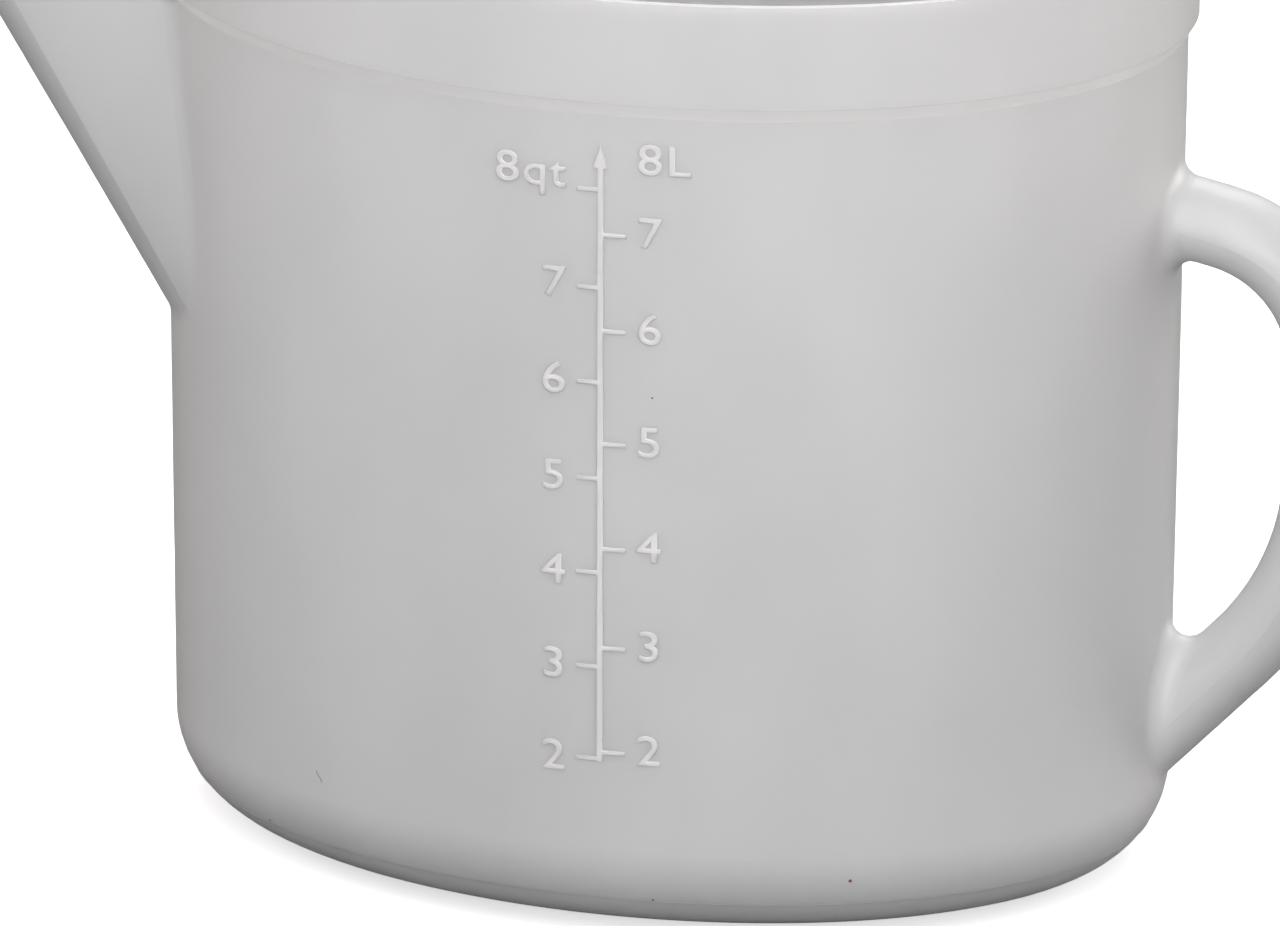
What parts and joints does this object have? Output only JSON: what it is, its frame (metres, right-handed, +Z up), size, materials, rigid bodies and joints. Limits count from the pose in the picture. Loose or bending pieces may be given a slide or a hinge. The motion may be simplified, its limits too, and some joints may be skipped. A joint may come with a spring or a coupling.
{
  "type": "pitcher",
  "caption": "Large oval plastic measuring pitcher with a collar round the mouth, a long wedge-shaped pouring spout and a hollow side handle, marked with a raised scale.",
  "frame": {"origin": "centre of the oval foot, on the surface that the pitcher stands on", "axes": "+Z up to the mouth, +X along the oval from spout to handle, -Y the side that carries the scale"},
  "size_m": [0.3984, 0.1864, 0.265],
  "materials": {
    "hdpe": "natural milky blow-moulded polyethylene, satin"
  },
  "bodies": {
    "root": {"pitcher": "hdpe"}
  },
  "joints": []
}
